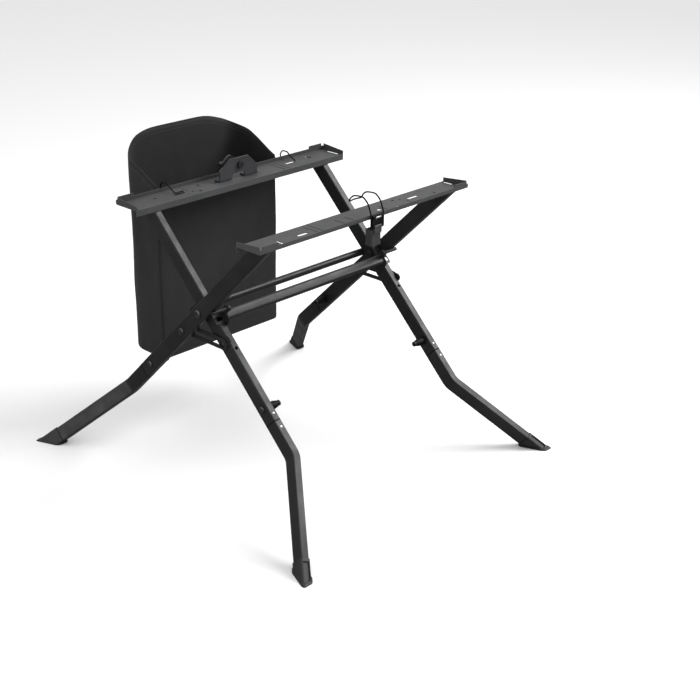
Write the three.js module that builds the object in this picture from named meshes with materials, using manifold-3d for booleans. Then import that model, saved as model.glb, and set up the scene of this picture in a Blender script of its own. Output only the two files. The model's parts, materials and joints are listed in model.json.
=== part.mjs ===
// Folding stand for a table saw: two crossed tube frames on one axis, two pressed rails, four legs
// that pull out at the knee, slotted link plates, a latch with a wire bail and a hanging dust bag.
// Millimetres, +X along the rails, -Y the front, +Z up, the floor at zero.
import * as THREE from 'three';
import { mergeVertices } from 'three/addons/utils/BufferGeometryUtils.js';
import Module from 'manifold-3d';

const wasm = await Module();
wasm.setup();

// Clearances and drawing values
const gap = 0.3;
const slideClearance = 0.3;
const pinClearance = 0.3;
const overrun = 20;
const huge = 1500;
const mergeTolerance = 0.0001;
const roundSides = 16;
const smallSides = 12;
const wireSides = 8;
const hexSides = 6;
const quarterSteps = 3;
const bendSteps = 5;

// The two frames
const pivotHeight = 392;
const legAngle = THREE.MathUtils.degToRad(45);
const tubeDepth = 33;
const tubeWidth = 17;
const tubeWall = 1.6;
const tubeCornerRadius = 2.6;
const outerFrameHalfWidth = 273.5;
const frameGap = 4;

// The rails
const deckHeight = 580;
const sheetThickness = 1.5;
const railOverhang = 26.5;
const railWidth = 67;
const railSetback = 5.5;
const innerFlangeDrop = 13;
const outerFlangeRise = 8;
const railBendRadius = 3;
const railBendSteps = 3;
const endTabRise = 14;
const endTabLength = 40;
const endTabInset = 5;
const endLipLowRise = 8;
const endLipHighRise = 14;
const endSlotWidth = 7;
const endSlotInset = 5.5;
const mountSlotWidth = 8;
const crossSlotLength = 22;
const crossSlotWidth = 5.5;
const boltHoleRadius = 3.5;
const smallHoleRadius = 2.4;
const grooveWidth = 3;
const grooveDepth = 0.7;

// The legs below the pivot
const seamDistance = 262;
const seamGap = 0.8;
const bendDistance = 341;
const bendAngle = THREE.MathUtils.degToRad(30);
const bendRadius = 36;
const soleDistance = 32.4;
const kneeDistance = 230;
const legTravel = 60;
const insertTop = 150;
const insertBendClearance = 11.3;
const insertWall = 1.8;

// The feet
const footGrow = 1.7;
const footCornerRadius = 2.5;
const footLip = 2.2;
const footLipHeight = 4;
const footSpigotLength = 30;
const footSpigotClearance = 0.4;
const footPocketLength = 38;
const footPocketWidth = 13;
const footPocketDepth = 3;
const footPocketStart = 7;

// The knee fittings
const kneePinRadius = 4;
const kneeHeadRadius = 7;
const kneeHeadHeight = 3.2;
const kneePinReach = 7;
const headRimShare = 0.4;
const headTopShare = 0.72;
const knobCollarRadius = 9;
const knobCollarLength = 13;
const knobGripLength = 17;
const knobRingRadius = 5.5;
const knobRingLength = 3;
const knobTipRadius = 4.5;

// The main pivot
const pivotBoltRadius = 5;
const pivotHeadRadius = 9.5;
const pivotHeadHeight = 3.6;
const pivotNutRadius = 9;
const pivotNutLength = 7;
const spacerRadius = 11;

// The link plates and what they run on
const linkDistance = 76;
const linkHeight = 26;
const linkThickness = 1.6;
const linkPinRadius = 3.5;
const linkPinDepth = 8;
const foldRange = THREE.MathUtils.degToRad(70);
const linkSlotClearance = 0.6;
const linkHookDrop = 4;
const linkRivetHeadRadius = 8;
const linkRivetHeadHeight = 3;

// The catches beside the links
const catchThickness = 1.5;
const catchLength = 28;
const catchStart = 58;
const catchFoot = 6.5;
const catchTop = 25;
const catchPinRadius = 2.2;
const catchPinDepth = 4;
const catchPinLevel = 10;

// The cross tubes and their brackets
const frontTubeHeight = 24;
const frontTubeDepth = 13;
const frontTubeAlong = 28;
const frontTubeAcross = 23;
const rearTubeRadius = 8;
const rearTubeAlong = 24.7;
const rearTubeAcross = 18.7;
const crossTubeWall = 1.6;
const bracketThickness = 3;
const frontBracketStart = 13;
const frontBracketEnd = 46;
const frontBracketTop = 47;
const frontBracketFoot = 2;
const frontBracketShoulder = 33;
const frontBracketEar = 28;
const frontBracketCut = 8;
const saddleThickness = 2;
const saddleOverhang = 6.5;
const saddleRim = 1.8;
const saddleHoleWidth = 9;
const saddleHoleLength = 21;
const plugHoleRadius = 3.5;
const plugHoleDistance = 97.5;
const rearBracketStart = 14.5;
const rearBracketEnd = 41;
const rearBracketTop = 29;
const rearBracketFoot = 2;
const bracketCorner = 6;
const stopBoltAlong = 20.8;
const stopBoltAcross = 40;
const stopBoltRadius = 4;
const stopBoltHeadRadius = 7;
const stopBoltHeadHeight = 5;

// The latch on the front rail
const latchCentre = 10;
const latchWidth = 31;
const clipDepth = 9;
const clipHeight = 19;
const clipSlotHeight = 5;
const clipSlotWidth = 17;
const latchEarWidth = 5;
const latchPinRadius = 2.5;
const latchPinDrop = 5;
const latchEarRadius = 4.5;
const earRoot = 2;
const latchNeckDepth = 7;
const latchNeckLength = 13.5;
const leverWidth = 27;
const leverDepth = 19;
const leverDrop = 7;
const leverLength = 34;
const leverCorner = 3;
const bailWireRadius = 1.6;
const bailPivotDrop = 6;
const bailHalfWidth = 18;
const bailRise = 40;
const bailBack = 59;
const bailNose = 2;
const bailInset = 3.5;
const bailSteps = 64;
const bailTension = 0.4;

// The saw bracket and its clamp lever on the rear rail
const bracketLeft = 54;
const bracketRight = 55;
const sawPlateInset = 25;
const sawPlateThickness = 4;
const sawPlateSideHeight = 24;
const sawPlateTopHeight = 46;
const sawPlateTopLeft = 27;
const sawPlateTopRight = 29;
const sawPlateTaper = 3;
const archHalfWidth = 19;
const archTopHalfWidth = 17;
const archHeight = 13.5;
const sawFootDepth = 16;
const sawFootThickness = 4;
const hubOffset = 3;
const hubHeight = 30;
const hubBoltRadius = 4;
const hubHeadRadius = 8;
const hubHeadHeight = 5;
const leverPlateThickness = 5;
const leverHubRadius = 12;
const leverKnobOffset = 40;
const leverKnobRise = 6.5;
const leverKnobRadius = 5.5;
const leverKnobDepth = 10;
const leverArmWidth = 8.5;
const leverArch = 16.5;
const leverArmSteps = 8;

// The bag and its two hooks
const bagLeft = 190;
const bagRight = 155;
const bagGap = 3.7;
const bagDepth = 125;
const bagHeight = 489;
const bagRise = 100;
const bagWall = 4;
const bagFrontRadius = 5;
const bagRearRadius = 48;
const bagFrontRise = 6;
const hookWireRadius = 1.5;
const hookBehind = 15;
const hookLow = 2;
const hookRise = 17;
const hookReach = 33;
const hookLeftInset = 19;
const hookRightOffset = 24;
const hookTail = 22;
const hookSteps = 44;
const hookTension = 0.25;

// Places on a rail's deck, as shares of half its length and of its width from the outer edge
const mountSlotShares = [
  { along: -0.545, across: 0.45, length: 27 },
  { along: 0.548, across: 0.567, length: 31 },
  { along: 0.177, across: 0.45, length: 12 },
];
const crossSlotShares = [{ along: -0.753, across: 0.39 }];
const endSlotShares = [
  { end: -1, across: 0.575, length: 0.53 },
  { end: 1, across: 0.76, length: 0.38 },
];
const boltHoleShares = [
  { along: 0.737, across: 0.403 },
  { along: 0.393, across: 0.776 },
  { along: 0.327, across: 0.3 },
];
const smallHoleShares = [
  { along: 0.443, across: 0.672 },
  { along: 0.31, across: 0.2 },
  { along: 0.257, across: 0.233 },
  { along: 0.123, across: 0.15 },
];
const grooveShares = [
  { along: 0.22, from: 0.18, to: 0.67 },
  { along: -0.107, from: 0.18, to: 0.68 },
  { along: -0.2, from: 0.18, to: 0.68 },
  { along: -0.4, from: 0.2, to: 0.93 },
  { along: -0.443, from: 0.2, to: 0.93 },
  { along: 0.463, from: 0.15, to: 0.5 },
];

// A catch's outline, as shares of its length and of its height
const catchShares = [
  { along: 0, up: 0 },
  { along: 1, up: 0 },
  { along: 1, up: 0.6 },
  { along: 0.86, up: 1 },
  { along: 0.6, up: 1 },
  { along: 0, up: 0.4 },
];

// The bail's side from its turn at the clip to its far end, as shares of its reach and of its rise
const bailSideShares = [
  { back: 0, rise: 0 },
  { back: 0.02, rise: 0.25 },
  { back: 0.16, rise: 0.73 },
  { back: 0.36, rise: 0.98 },
  { back: 0.54, rise: 1 },
  { back: 0.8, rise: 0.94 },
  { back: 0.96, rise: 0.76 },
  { back: 1, rise: 0.6 },
];

// The rim of the bag: its sides, as shares of the depth, and its back, as shares of each half width.
// Rises are shares of the way from the front's top edge to the back's.
const bagSideShares = [
  { depth: 0, rise: 0 },
  { depth: 0.32, rise: 0.27 },
  { depth: 0.62, rise: 0.49 },
  { depth: 0.88, rise: 0.7 },
  { depth: 0.92, rise: 1 },
];
const bagBackLeftShares = [
  { across: 1, rise: 0.45 },
  { across: 0.87, rise: 0.7 },
  { across: 0.81, rise: 0.82 },
  { across: 0.74, rise: 0.92 },
  { across: 0.6, rise: 1 },
];
const bagBackRightShares = [
  { across: 0.3, rise: 1 },
  { across: 0.44, rise: 0.96 },
  { across: 0.59, rise: 0.88 },
  { across: 0.76, rise: 0.77 },
  { across: 0.9, rise: 0.65 },
  { across: 1, rise: 0.54 },
];

// Sizes that follow
const half = (size) => size / 2;
const tubeHalfDepth = half(tubeDepth);
const tubeHalfWidth = half(tubeWidth);
const outerLegCentre = outerFrameHalfWidth - tubeHalfWidth;
const outerLegInnerFace = outerFrameHalfWidth - tubeWidth;
const innerFrameHalfWidth = outerLegInnerFace - frameGap;
const innerLegCentre = innerFrameHalfWidth - tubeHalfWidth;
const innerLegInnerFace = innerFrameHalfWidth - tubeWidth;
const deckLevel = deckHeight - pivotHeight;
const railHalfLength = outerFrameHalfWidth + railOverhang;
const railInnerEdge = deckLevel * Math.tan(legAngle) - half(railWidth) - railSetback;
const railOuterEdge = railInnerEdge + railWidth;
const hollowDepth = tubeDepth - 2 * tubeWall;
const hollowWidth = tubeWidth - 2 * tubeWall;
const bendStart = bendRadius * Math.tan(half(bendAngle));
const insertBottom = bendDistance - bendStart - insertBendClearance;
const legLength = pivotHeight / Math.cos(legAngle);
const collarDistance = (legLength - bendDistance) / Math.cos(bendAngle) - soleDistance;
const catchPinDistance = catchStart + catchLength - catchFoot;
const frontBracketMiddle = half(frontBracketStart + frontBracketEnd);
const clipTop = deckHeight + outerFlangeRise;
const clipBottom = clipTop - clipHeight;
const latchPinHeight = clipBottom - latchPinDrop;
const bailPivotHeight = clipTop - bailPivotDrop;
const bagBottom = deckHeight + bagRise - bagHeight;

// Solids from three.js geometry, and back
function solidOf(geometry) {
  const bare = geometry.clone();
  bare.deleteAttribute('normal');
  bare.deleteAttribute('uv');
  const merged = mergeVertices(bare, mergeTolerance);
  const triVerts = new Uint32Array(merged.index.array);
  const vertProperties = new Float32Array(merged.attributes.position.array);
  return new wasm.Manifold(new wasm.Mesh({ numProp: 3, vertProperties, triVerts }));
}

function geometryOf(solid) {
  const mesh = solid.getMesh();
  const geometry = new THREE.BufferGeometry();
  geometry.setAttribute('position', new THREE.BufferAttribute(mesh.vertProperties, mesh.numProp));
  geometry.setIndex(new THREE.BufferAttribute(mesh.triVerts, 1));
  geometry.computeVertexNormals();
  return geometry;
}

const joined = (first, ...others) => others.reduce((whole, other) => whole.add(other), first);
const cut = (body, ...tools) => tools.reduce((rest, tool) => rest.subtract(tool), body);

// Outlines in a plane
function roundedRectangle(width, height, radius) {
  const [x, y] = [half(width), half(height)];
  const shape = new THREE.Shape();
  shape.absarc(x - radius, y - radius, radius, 0, Math.PI / 2);
  shape.absarc(-x + radius, y - radius, radius, Math.PI / 2, Math.PI);
  shape.absarc(-x + radius, -y + radius, radius, Math.PI, Math.PI * 1.5);
  shape.absarc(x - radius, -y + radius, radius, Math.PI * 1.5, Math.PI * 2);
  return shape;
}

function polygon(points) {
  return new THREE.Shape(points.map(([x, y]) => new THREE.Vector2(x, y)));
}

function stadium(length, width) {
  const shape = new THREE.Shape();
  const reach = half(length) - half(width);
  shape.absarc(reach, 0, half(width), -Math.PI / 2, Math.PI / 2);
  shape.absarc(-reach, 0, half(width), Math.PI / 2, Math.PI * 1.5);
  return shape;
}

// An outline pulled up along Z, or laid so that its depth runs along X or Y, centred on that axis
function pulledZ(shape, depth) {
  const options = { depth, bevelEnabled: false, curveSegments: quarterSteps };
  return new THREE.ExtrudeGeometry(shape, options).translate(0, 0, -half(depth));
}

function pulledX(shape, depth) {
  const turn = new THREE.Matrix4().makeBasis(
    new THREE.Vector3(0, 1, 0),
    new THREE.Vector3(0, 0, 1),
    new THREE.Vector3(1, 0, 0),
  );
  return pulledZ(shape, depth).applyMatrix4(turn);
}

function pulledY(shape, depth) {
  return pulledZ(shape, depth).rotateX(Math.PI / 2);
}

const block = (x, y, z) => new THREE.BoxGeometry(x, y, z);

function rodX(radius, length, sides = smallSides) {
  return new THREE.CylinderGeometry(radius, radius, length, sides).rotateZ(-Math.PI / 2);
}

function rodY(radius, length, sides = smallSides) {
  return new THREE.CylinderGeometry(radius, radius, length, sides);
}

function rodZ(radius, length, sides = smallSides) {
  return new THREE.CylinderGeometry(radius, radius, length, sides).rotateX(Math.PI / 2);
}

// A round body turned about X from a profile of radii and places along the axis
function turnedX(points, sides = roundSides) {
  const profile = points.map(([radius, place]) => new THREE.Vector2(radius, place));
  return new THREE.LatheGeometry(profile, sides).rotateZ(-Math.PI / 2);
}

function circle(radius, sides) {
  const points = [];
  for (let i = 0; i < sides; i += 1) {
    const angle = (i / sides) * Math.PI * 2;
    points.push([radius * Math.cos(angle), radius * Math.sin(angle)]);
  }
  return polygon(points);
}

function wire(points, radius, steps, tension) {
  const path = new THREE.CatmullRomCurve3(points, false, 'catmullrom', tension);
  const outline = circle(radius, wireSides);
  return new THREE.ExtrudeGeometry(outline, { steps, extrudePath: path, bevelEnabled: false });
}

// Paint and metal
const paintedSteel = { color: 0x242528, roughness: 0.5, metalness: 0.35 };
const railPaint = { color: 0x2b2c2f, roughness: 0.45, metalness: 0.35 };
const zincSteel = { color: 0xb9bcc0, roughness: 0.3, metalness: 0.9 };
const darkSteel = { color: 0x3a3c3f, roughness: 0.45, metalness: 0.7 };
const blackPlastic = { color: 0x141415, roughness: 0.6, metalness: 0 };
const rubber = { color: 0x101011, roughness: 0.85, metalness: 0 };
const bagCloth = { color: 0x1f2022, roughness: 0.95, metalness: 0 };

const stand = new THREE.Group();

function addPiece(parent, name, geometry, look) {
  const piece = new THREE.Mesh(geometry, new THREE.MeshStandardMaterial(look));
  piece.name = name;
  parent.add(piece);
  return piece;
}

// A frame group stands at the pivot, with its rail towards -Y and its feet towards +Y
function frameGroup(turn) {
  const group = new THREE.Group();
  group.position.z = pivotHeight;
  group.rotation.z = turn;
  stand.add(group);
  return group;
}

// A leg group leans in its frame: +Z up the leg, +Y its upper side
function legGroup(frame, place) {
  const group = new THREE.Group();
  group.position.x = place;
  group.rotation.x = legAngle;
  frame.add(group);
  return group;
}

// Everything above or below a level of the stand, as a solid in a group's own coordinates
function beyondLevel(group, level, upward) {
  group.updateWorldMatrix(true, false);
  const slab = block(huge * 2, huge * 2, huge).translate(0, 0, level + upward * half(huge));
  return solidOf(slab.applyMatrix4(group.matrixWorld.clone().invert()));
}

// The pressed rail in its frame's coordinates
function railSolid() {
  const outer = -railOuterEdge;
  const length = railHalfLength * 2;
  const top = deckLevel;
  const under = top - sheetThickness;
  const bend = [];
  for (let i = 0; i <= railBendSteps; i += 1) {
    const angle = (Math.PI / 2) * (i / railBendSteps);
    bend.push([
      outer + railBendRadius * (1 - Math.sin(Math.PI / 2 - angle)),
      under + railBendRadius * (1 - Math.sin(angle)),
    ]);
  }
  const section = polygon([
    ...bend,
    [-railInnerEdge - sheetThickness, under],
    [-railInnerEdge - sheetThickness, top - innerFlangeDrop],
    [-railInnerEdge, top - innerFlangeDrop],
    [-railInnerEdge, top],
    [outer + sheetThickness, top],
    [outer + sheetThickness, top + outerFlangeRise],
    [outer, top + outerFlangeRise],
  ]);
  let rail = solidOf(pulledX(section, length));
  const lip = polygon([
    [-railInnerEdge, under],
    [-railInnerEdge, top + endLipLowRise],
    [outer + endTabInset, top + endLipHighRise],
    [outer + endTabInset, top + outerFlangeRise],
    [outer, top + outerFlangeRise],
    ...bend,
  ]);
  const tab = block(endTabLength, sheetThickness, endTabRise - outerFlangeRise + gap);
  for (const side of [-1, 1]) {
    const lipPlace = side * (railHalfLength - half(sheetThickness));
    rail = rail.add(solidOf(pulledX(lip, sheetThickness).translate(lipPlace, 0, 0)));
    const tabPlace = side * (railHalfLength - endTabInset - half(endTabLength));
    const tabLevel = top + half(endTabRise + outerFlangeRise - gap);
    rail = rail.add(solidOf(tab.clone().translate(tabPlace, outer + half(sheetThickness), tabLevel)));
  }
  return deckCuts(rail);
}

function deckCuts(rail) {
  let whole = rail;
  const across = (share) => -railOuterEdge + railWidth * share;
  for (const { along, across: share, length } of mountSlotShares) {
    const slot = pulledZ(stadium(length, mountSlotWidth), overrun);
    whole = whole.subtract(solidOf(slot.translate(railHalfLength * along, across(share), deckLevel)));
  }
  for (const { along, across: share } of crossSlotShares) {
    const slot = pulledZ(stadium(crossSlotLength, crossSlotWidth), overrun).rotateZ(Math.PI / 2);
    whole = whole.subtract(solidOf(slot.translate(railHalfLength * along, across(share), deckLevel)));
  }
  for (const { end, across: share, length } of endSlotShares) {
    const slot = block(endSlotWidth, railWidth * length, overrun);
    const place = end * (railHalfLength - endSlotInset);
    whole = whole.subtract(solidOf(slot.translate(place, across(share), deckLevel)));
  }
  for (const { along, across: share } of boltHoleShares) {
    const hole = rodZ(boltHoleRadius, overrun);
    whole = whole.subtract(solidOf(hole.translate(railHalfLength * along, across(share), deckLevel)));
  }
  for (const { along, across: share } of smallHoleShares) {
    const hole = rodZ(smallHoleRadius, overrun);
    whole = whole.subtract(solidOf(hole.translate(railHalfLength * along, across(share), deckLevel)));
  }
  for (const { along, from, to } of grooveShares) {
    const groove = block(grooveWidth, railWidth * (to - from), grooveDepth + overrun);
    const level = deckLevel + half(grooveDepth + overrun) - grooveDepth;
    groove.translate(railHalfLength * along, across(half(from + to)), level);
    whole = whole.subtract(solidOf(groove));
  }
  return whole;
}

// The upper tube of a leg, with its holes for the bolts
function upperLeg(group, outward, isOuter) {
  const length = deckLevel / Math.cos(legAngle) + tubeDepth + seamDistance;
  const middle = half(length) - seamDistance;
  const skin = pulledZ(roundedRectangle(tubeWidth, tubeDepth, tubeCornerRadius), length);
  const hollow = pulledZ(polygon(rectanglePoints(hollowWidth, hollowDepth)), length + overrun);
  let leg = solidOf(skin.translate(0, 0, middle)).subtract(solidOf(hollow.translate(0, 0, middle)));
  leg = leg.subtract(beyondLevel(group, deckHeight - sheetThickness - gap, 1));
  const throughHole = (radius, distance) => {
    const hole = rodX(radius + pinClearance, tubeWidth + overrun);
    return solidOf(hole.translate(0, 0, -distance));
  };
  leg = cut(leg, throughHole(pivotBoltRadius, 0), throughHole(kneePinRadius, kneeDistance));
  if (isOuter) return leg.subtract(throughHole(linkPinRadius, linkDistance));
  const outerFaceHole = (radius, distance, rise) => {
    const hole = rodX(radius + pinClearance, tubeWidth);
    return solidOf(hole.translate(outward * tubeHalfWidth, rise, -distance));
  };
  const upperFaceHole = (shape, distance) => {
    const hole = pulledY(shape, tubeHalfDepth);
    return solidOf(hole.translate(0, tubeHalfDepth, -distance));
  };
  return cut(
    leg,
    outerFaceHole(linkPinRadius, linkDistance, 0),
    outerFaceHole(catchPinRadius, catchPinDistance, catchPinLevel),
    upperFaceHole(stadium(hollowWidth - 2 * gap, saddleHoleWidth), frontBracketMiddle),
    upperFaceHole(circle(plugHoleRadius, smallSides), plugHoleDistance),
  );
}

function rectanglePoints(width, height) {
  const [x, y] = [half(width), half(height)];
  return [[-x, -y], [x, -y], [x, y], [-x, y]];
}

// A strip of the bent lower leg, seen from the front, that starts at a distance down the leg
function bentStrip(width, start, lengthPastBend, outward) {
  const bendCentre = -bendDistance + bendStart;
  const edge = (offset) => {
    const radius = bendRadius + offset;
    const points = [[-offset, -start]];
    for (let i = 0; i <= bendSteps; i += 1) {
      const angle = (bendAngle * i) / bendSteps;
      points.push([bendRadius - radius * Math.cos(angle), bendCentre - radius * Math.sin(angle)]);
    }
    const [x, z] = points.at(-1);
    const run = lengthPastBend - bendStart;
    points.push([x + run * Math.sin(bendAngle), z - run * Math.cos(bendAngle)]);
    return points;
  };
  const outline = [...edge(half(width)), ...edge(-half(width)).reverse()];
  return outline.map(([x, z]) => [x * outward, z]);
}

function lowerLeg(outward) {
  const bevel = {
    depth: tubeDepth - 2 * tubeCornerRadius,
    bevelThickness: tubeCornerRadius,
    bevelSize: tubeCornerRadius,
    bevelOffset: -tubeCornerRadius,
    bevelSegments: 2,
  };
  const start = seamDistance + seamGap;
  const outline = polygon(bentStrip(tubeWidth, start - overrun, collarDistance + overrun, outward));
  const skin = new THREE.ExtrudeGeometry(outline, bevel).translate(0, 0, -half(bevel.depth));
  const longBore = overrun + overrun;
  const bore = polygon(bentStrip(hollowWidth, start - longBore, collarDistance + longBore, outward));
  const cutWidth = tubeWidth + longBore;
  const topCut = block(cutWidth, tubeDepth + overrun, longBore).translate(0, 0, overrun - start);
  const endCut = block(cutWidth, tubeDepth + overrun, longBore);
  endCut.translate(0, 0, -collarDistance - overrun).rotateY(-outward * bendAngle);
  endCut.translate(0, 0, -bendDistance);
  const body = solidOf(skin.rotateX(Math.PI / 2));
  return cut(body, solidOf(pulledY(bore, hollowDepth)), solidOf(topCut), solidOf(endCut));
}

// The tube inside the knee, riveted to the lower leg, with a slot on each wide face for the pins
function kneeInsert() {
  const length = insertBottom - insertTop;
  const middle = -half(insertBottom + insertTop);
  const [width, depth] = [hollowWidth - 2 * slideClearance, hollowDepth - 2 * slideClearance];
  const skin = pulledZ(polygon(rectanglePoints(width, depth)), length);
  const hollow = polygon(rectanglePoints(width - 2 * insertWall, depth - 2 * insertWall));
  const bore = pulledZ(hollow, length + overrun).translate(0, 0, middle);
  const slotWidth = 2 * (kneePinRadius + pinClearance);
  const slot = pulledX(stadium(legTravel + slotWidth, slotWidth), width + overrun);
  slot.rotateX(Math.PI / 2).translate(0, 0, half(legTravel) - kneeDistance);
  return cut(solidOf(skin.translate(0, 0, middle)), solidOf(bore), solidOf(slot));
}

// The moulded foot: a spigot in the tube and a boot cut flat on the floor, with a thin sole lip
function footSolid(group) {
  const length = soleDistance + tubeDepth + tubeWidth;
  const bootOf = (grow) => {
    const [width, depth] = [tubeWidth + 2 * grow, tubeDepth + 2 * grow];
    const boot = pulledZ(roundedRectangle(width, depth, footCornerRadius + grow), length);
    return solidOf(boot.translate(0, 0, -collarDistance - gap - half(length)));
  };
  const lip = bootOf(footGrow + footLip).subtract(beyondLevel(group, footLipHeight, 1));
  const spigotWidth = hollowWidth - 2 * footSpigotClearance;
  const spigotDepth = hollowDepth - 2 * footSpigotClearance;
  const spigotOutline = polygon(rectanglePoints(spigotWidth, spigotDepth));
  const spigot = pulledZ(spigotOutline, footSpigotLength + 2 * gap);
  spigot.translate(0, 0, -collarDistance + half(footSpigotLength) - gap);
  const pocket = block(footPocketWidth, footPocketDepth * 2, footPocketLength);
  const pocketPlace = -collarDistance - footPocketStart - half(footPocketLength);
  pocket.translate(0, tubeHalfDepth + footGrow, pocketPlace);
  const foot = joined(bootOf(footGrow), solidOf(spigot)).subtract(solidOf(pocket)).add(lip);
  return foot.subtract(beyondLevel(group, 0, -1));
}

// A pan-headed bolt along X from the outer face, with its shank pointing inwards
function panBolt(headRadius, headHeight, shankRadius, shankLength) {
  return turnedX([
    [0, -shankLength],
    [shankRadius, -shankLength],
    [shankRadius, 0],
    [headRadius, 0],
    [headRadius, headHeight * headRimShare],
    [headRadius * headTopShare, headHeight],
    [0, headHeight],
  ]);
}

// The spring plunger: collar, cone, ring and the pin that enters the leg, pointing inwards
function plunger() {
  const collarEnd = gap + knobCollarLength;
  const gripEnd = collarEnd + knobGripLength;
  const ringStart = gripEnd - knobRingLength;
  return turnedX([
    [0, -kneePinReach],
    [kneePinRadius, -kneePinReach],
    [kneePinRadius, gap],
    [knobCollarRadius, gap],
    [knobCollarRadius, collarEnd],
    [knobRingRadius, ringStart],
    [knobRingRadius, gripEnd - half(knobRingLength)],
    [knobTipRadius, gripEnd],
    [0, gripEnd],
  ]);
}

function addLowerLeg(group, outward, label) {
  addPiece(group, `lower_leg_${label}`, geometryOf(lowerLeg(outward)), paintedSteel);
  addPiece(group, `knee_insert_${label}`, geometryOf(kneeInsert()), darkSteel);
  const bolt = panBolt(kneeHeadRadius, kneeHeadHeight, kneePinRadius, kneePinReach);
  if (outward < 0) bolt.rotateZ(Math.PI);
  bolt.translate(outward * (tubeHalfWidth + gap), 0, -kneeDistance);
  addPiece(group, `knee_bolt_${label}`, bolt, zincSteel);
  const knob = plunger();
  if (outward > 0) knob.rotateZ(Math.PI);
  knob.translate(-outward * tubeHalfWidth, 0, -kneeDistance);
  addPiece(group, `knee_knob_${label}`, knob, blackPlastic);
  const foot = new THREE.Group();
  foot.position.z = -bendDistance;
  foot.rotation.y = -outward * bendAngle;
  group.add(foot);
  addPiece(foot, `foot_${label}`, geometryOf(footSolid(foot)), rubber);
}

// A plate on a leg's side, drawn by its reach down the leg and across it
function legPlate(start, end, bottom, top) {
  const outline = roundedRectangle(top - bottom, end - start, bracketCorner);
  return pulledX(outline, bracketThickness).translate(0, half(top + bottom), -half(start + end));
}

function crossTube(radius, reach) {
  const skin = solidOf(rodX(radius, reach * 2, roundSides));
  return skin.subtract(solidOf(rodX(radius - crossTubeWall, reach * 2 + overrun, roundSides)));
}

// A flat-sided tube across the stand, with its broad sides along the leg
function flatTube(height, depth, reach) {
  const skin = pulledX(stadium(height, depth), reach * 2);
  const inside = stadium(height - 2 * crossTubeWall, depth - 2 * crossTubeWall);
  const bore = pulledX(inside, reach * 2 + overrun);
  return solidOf(skin.rotateX(Math.PI / 2)).subtract(solidOf(bore.rotateX(Math.PI / 2)));
}

// The outer frame: the front rail and the two rear legs
const outerFrame = frameGroup(0);
addPiece(outerFrame, 'rail_front', geometryOf(railSolid()), railPaint);
for (const side of [-1, 1]) {
  const label = side < 0 ? 'left' : 'right';
  const leg = legGroup(outerFrame, side * outerLegCentre);
  addPiece(leg, `outer_leg_${label}`, geometryOf(upperLeg(leg, side, true)), paintedSteel);
  addLowerLeg(leg, side, `rear_${label}`);
  addRearBracket(leg, side, label);
  addPivotBolt(leg, side, label);
  addLinkRivet(leg, side, label);
}
addRearTube();

// The inner frame: the rear rail and the two front legs, turned half round
const innerFrame = frameGroup(Math.PI);
addPiece(innerFrame, 'rail_rear', geometryOf(railSolid()), railPaint);
for (const side of [-1, 1]) {
  const label = side > 0 ? 'left' : 'right';
  const leg = legGroup(innerFrame, side * innerLegCentre);
  addPiece(leg, `inner_leg_${label}`, geometryOf(upperLeg(leg, side, false)), paintedSteel);
  addLowerLeg(leg, side, `front_${label}`);
  addFrontBracket(leg, side, label);
  addLinkPin(leg, side, label);
  addCatch(leg, side, label);
}
addFrontTube();
addLinks();
addLatch();
addSawBracket();
addBag();

function addRearBracket(leg, side, label) {
  const place = -side * (tubeHalfWidth + gap + half(bracketThickness));
  const plate = legPlate(rearBracketStart, rearBracketEnd, rearBracketFoot, rearBracketTop);
  addPiece(leg, `rear_tube_bracket_${label}`, plate.translate(place, 0, 0), darkSteel);
}

function addRearTube() {
  const reach = outerLegInnerFace - gap * 2 - bracketThickness;
  const tube = geometryOf(crossTube(rearTubeRadius, reach));
  tube.translate(0, rearTubeAcross, -rearTubeAlong);
  addPiece(legGroup(outerFrame, 0), 'rear_cross_tube', tube, paintedSteel);
}

function addFrontTube() {
  const reach = innerLegInnerFace - gap * 2 - bracketThickness;
  const tube = geometryOf(flatTube(frontTubeHeight, frontTubeDepth, reach));
  tube.translate(0, frontTubeAcross, -frontTubeAlong);
  addPiece(legGroup(innerFrame, 0), 'front_cross_tube', tube, paintedSteel);
}

// The pivot bolt with its nut on the inner leg's inner face, and the spacer between the legs
function addPivotBolt(leg, side, label) {
  const reach = tubeWidth * 2 + frameGap + pivotNutLength + gap * 2;
  const bolt = panBolt(pivotHeadRadius, pivotHeadHeight, pivotBoltRadius, reach);
  if (side < 0) bolt.rotateZ(Math.PI);
  addPiece(leg, `pivot_bolt_${label}`, bolt.translate(side * (tubeHalfWidth + gap), 0, 0), zincSteel);
  const bore = solidOf(rodX(pivotBoltRadius + pinClearance, overrun * 2, roundSides));
  const ring = solidOf(rodX(spacerRadius, frameGap - gap * 2, roundSides)).subtract(bore);
  const ringPlace = -side * (tubeHalfWidth + half(frameGap));
  addPiece(leg, `pivot_spacer_${label}`, geometryOf(ring).translate(ringPlace, 0, 0), darkSteel);
  const nut = solidOf(rodX(pivotNutRadius, pivotNutLength, hexSides)).subtract(bore);
  const nutPlace = -side * (tubeHalfWidth + frameGap + tubeWidth + gap + half(pivotNutLength));
  addPiece(leg, `pivot_nut_${label}`, geometryOf(nut).translate(nutPlace, 0, 0), darkSteel);
}

function addLinkRivet(leg, side, label) {
  const reach = tubeWidth + gap * 2 + linkThickness;
  const rivet = panBolt(linkRivetHeadRadius, linkRivetHeadHeight, linkPinRadius, reach);
  if (side < 0) rivet.rotateZ(Math.PI);
  rivet.translate(side * (tubeHalfWidth + gap), 0, -linkDistance);
  addPiece(leg, `link_rivet_${label}`, rivet, zincSteel);
}

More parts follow.
